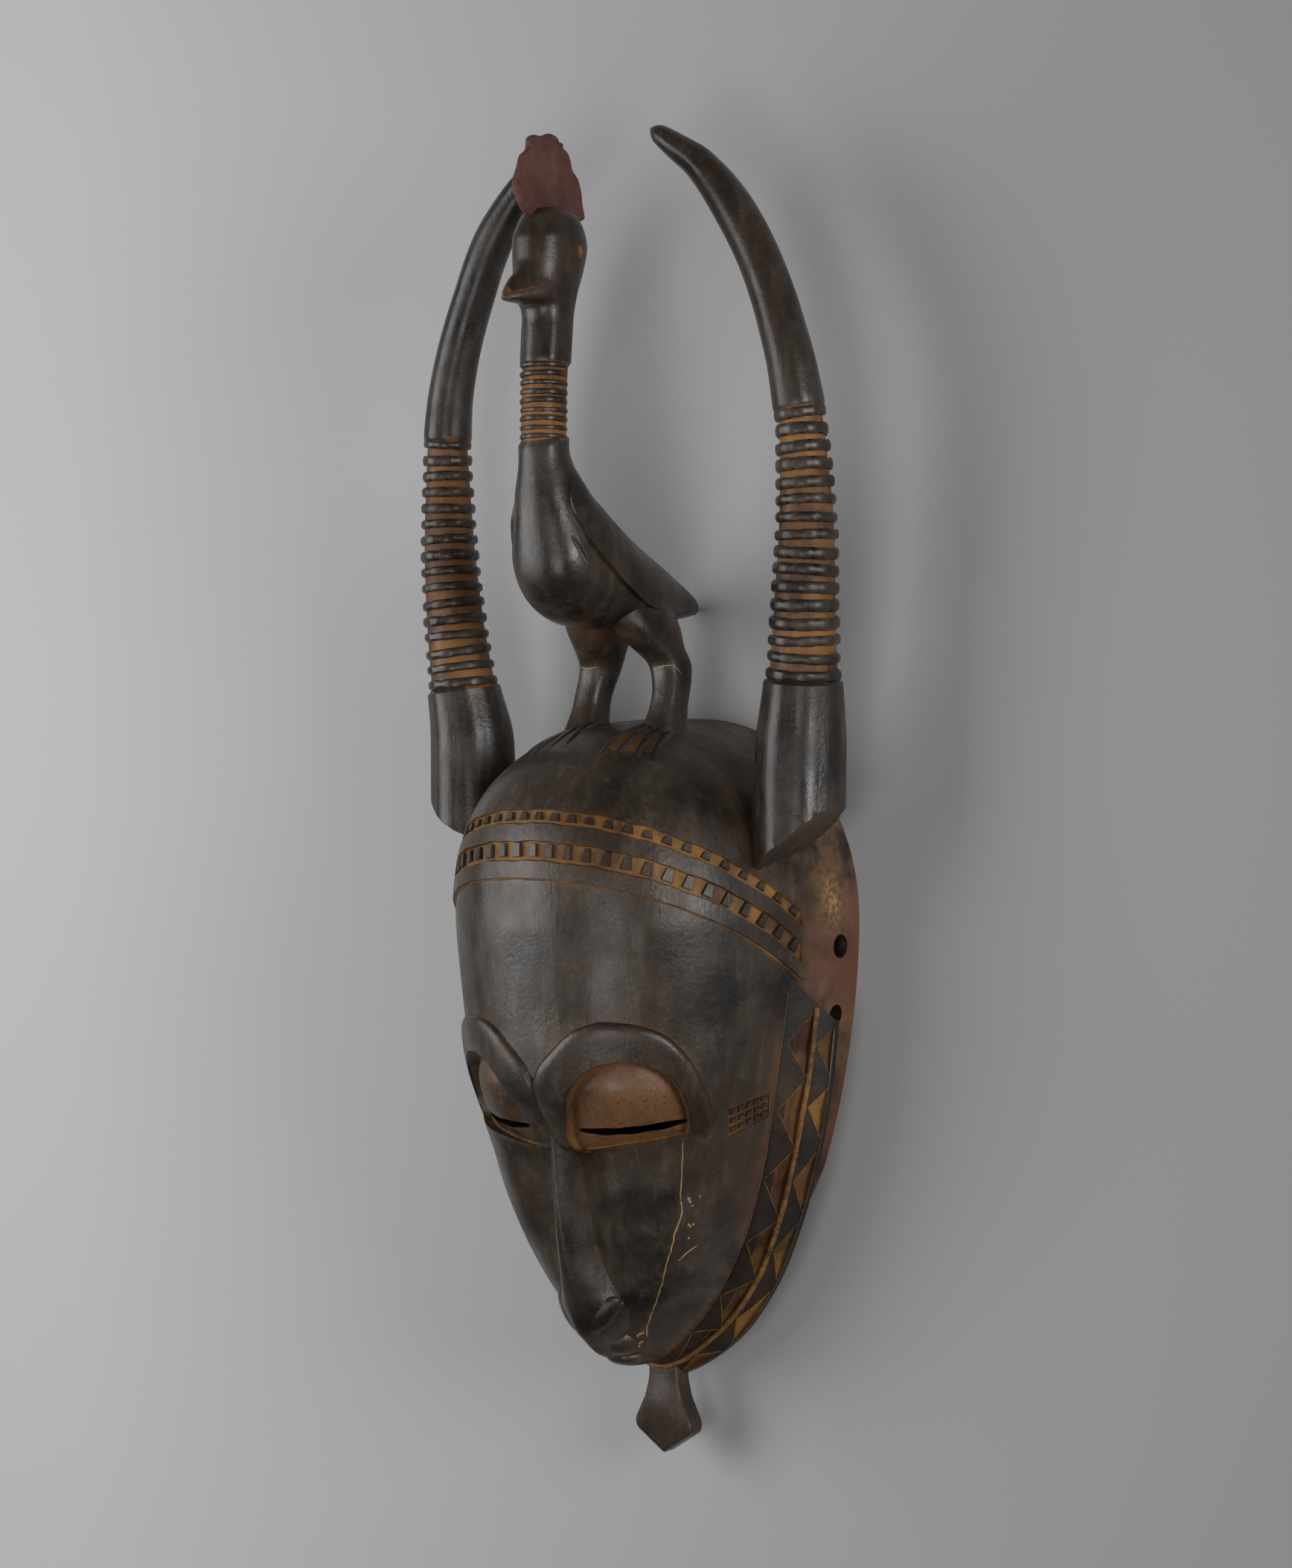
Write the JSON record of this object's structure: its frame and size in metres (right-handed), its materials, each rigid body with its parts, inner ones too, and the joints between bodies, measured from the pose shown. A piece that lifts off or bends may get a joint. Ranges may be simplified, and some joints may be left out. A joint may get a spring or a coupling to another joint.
{
  "type": "carved wooden mask",
  "caption": "Long oval face mask in dark carved wood with closed eyes, ringed horns and a crested bird standing on the crown; hollow back with cord holes through the rim.",
  "frame": {"origin": "centre of the bounding box in plan, in the plane of the flat back rim that the mask lies on", "axes": "+Z out of the face, +Y from the chin towards the horn tips, +X to the right of someone looking down at the face"},
  "size_m": [0.19, 0.494, 0.117],
  "materials": {
    "carved_wood": "satin dark stain with ochre and red rubbed into the carving, worn at the edges"
  },
  "bodies": {
    "root": {"mask": "carved_wood"}
  },
  "joints": []
}
